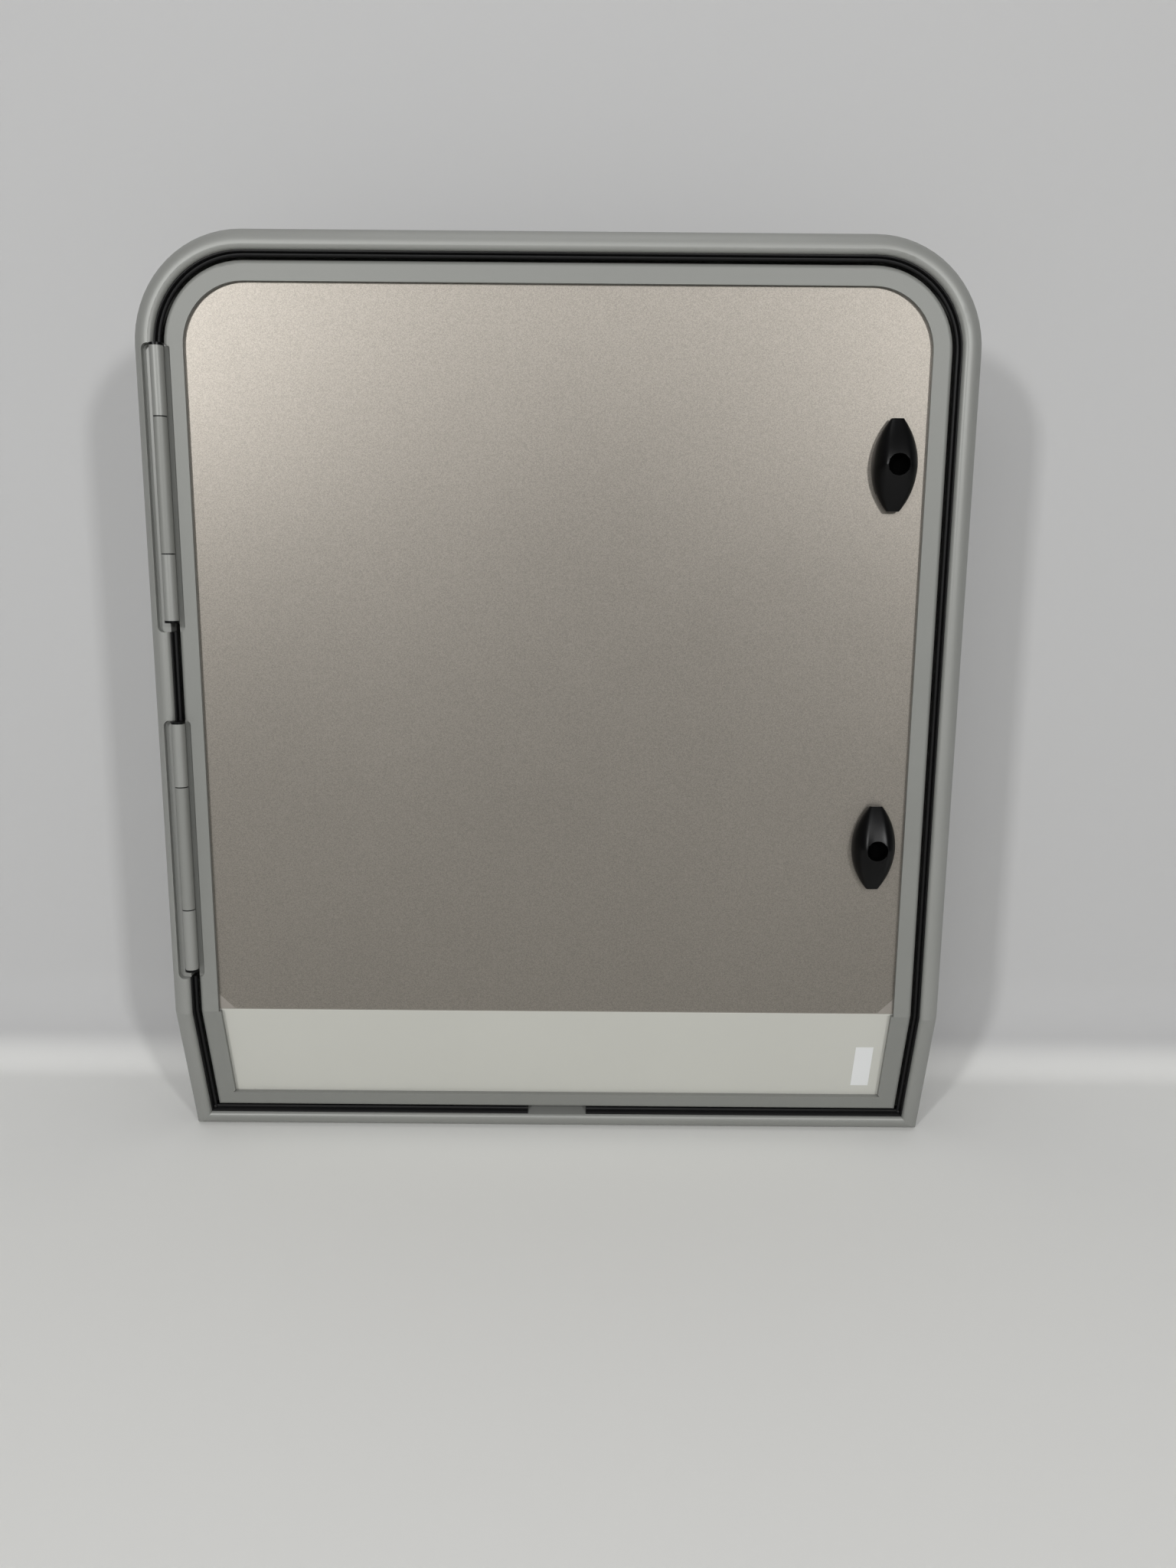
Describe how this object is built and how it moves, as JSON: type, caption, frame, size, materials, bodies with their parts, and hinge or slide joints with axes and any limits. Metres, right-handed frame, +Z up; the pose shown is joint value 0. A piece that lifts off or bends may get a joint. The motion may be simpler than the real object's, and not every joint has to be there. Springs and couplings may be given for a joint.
{
  "type": "caravan service door",
  "caption": "Framed access door for a caravan wall, folded back near the bottom, with knuckle hinges on the left and turn knobs on the right.",
  "frame": {"origin": "on the back of the frame's flange, at the middle of its width at the top centre", "axes": "+X to the right seen from outside, +Y into the vehicle, +Z up"},
  "size_m": [0.7, 0.1009, 0.8036],
  "materials": {
    "frame_aluminium": "satin silver-grey coating",
    "leaf_aluminium": "satin silver-grey coating",
    "champagne_sheet": "champagne metallic with fine sparkle",
    "off_white_sheet": "off-white smooth coating",
    "lining_sheet": "pale pebbled inner sheet",
    "foam": "cut rigid foam",
    "seal_rubber": "black sealing rubber",
    "black_plastic": "black moulded, satin",
    "bush_plastic": "natural nylon",
    "zinc_steel": "bright zinc plated",
    "raw_aluminium": "mill finish",
    "label_paper": "blank white label"
  },
  "bodies": {
    "frame": {"frame_hoop": "frame_aluminium", "frame_sill": "frame_aluminium", "frame_cleat_left": "raw_aluminium", "frame_cleat_right": "raw_aluminium", "gap_seal": "seal_rubber", "stop_seal": "seal_rubber", "hinge_upper_frame_wing": "frame_aluminium", "hinge_lower_frame_wing": "frame_aluminium", "hinge_upper_pin": "zinc_steel", "hinge_lower_pin": "zinc_steel", "hinge_upper_washers": "black_plastic", "hinge_lower_washers": "black_plastic", "hinge_upper_caps": "black_plastic", "hinge_lower_caps": "black_plastic", "hinge_upper_frame_screws": "zinc_steel", "hinge_lower_frame_screws": "zinc_steel"},
    "door": {"leaf_hoop": "leaf_aluminium", "leaf_sill": "leaf_aluminium", "leaf_key_left": "raw_aluminium", "leaf_key_right": "raw_aluminium", "decor_sheet": "champagne_sheet", "outer_sheet": "off_white_sheet", "foam_core": "foam", "inner_lining": "lining_sheet", "hinge_upper_door_wing": "leaf_aluminium", "hinge_lower_door_wing": "leaf_aluminium", "hinge_upper_bush": "bush_plastic", "hinge_lower_bush": "bush_plastic", "hinge_upper_door_screws": "zinc_steel", "hinge_lower_door_screws": "zinc_steel", "blank_label": "label_paper", "lock_upper_housing": "black_plastic", "lock_lower_housing": "black_plastic", "lock_upper_washer": "zinc_steel", "lock_lower_washer": "zinc_steel", "lock_upper_nut": "black_plastic", "lock_lower_nut": "black_plastic"},
    "lock_upper": {"lock_upper_knob": "black_plastic", "lock_upper_spindle": "zinc_steel", "lock_upper_tongue": "zinc_steel", "lock_upper_tongue_washer": "zinc_steel", "lock_upper_tongue_screw": "zinc_steel"},
    "lock_lower": {"lock_lower_knob": "black_plastic", "lock_lower_spindle": "zinc_steel", "lock_lower_tongue": "zinc_steel", "lock_lower_tongue_washer": "zinc_steel", "lock_lower_tongue_screw": "zinc_steel"}
  },
  "joints": [
    {"name": "door_swing", "type": "hinge", "parent": "frame", "child": "door", "pos_m": [-0.33, -0.0085, -0.3], "axis": [0, 0, -1], "range_deg": [0, 170]},
    {"name": "upper_lock_turn", "type": "hinge", "parent": "door", "child": "lock_upper", "pos_m": [0.283, 0, -0.17375], "axis": [0, -1, 0], "range_deg": [0, 90]},
    {"name": "lower_lock_turn", "type": "hinge", "parent": "door", "child": "lock_lower", "pos_m": [0.283, 0, -0.50375], "axis": [0, -1, 0], "range_deg": [0, 90]}
  ]
}
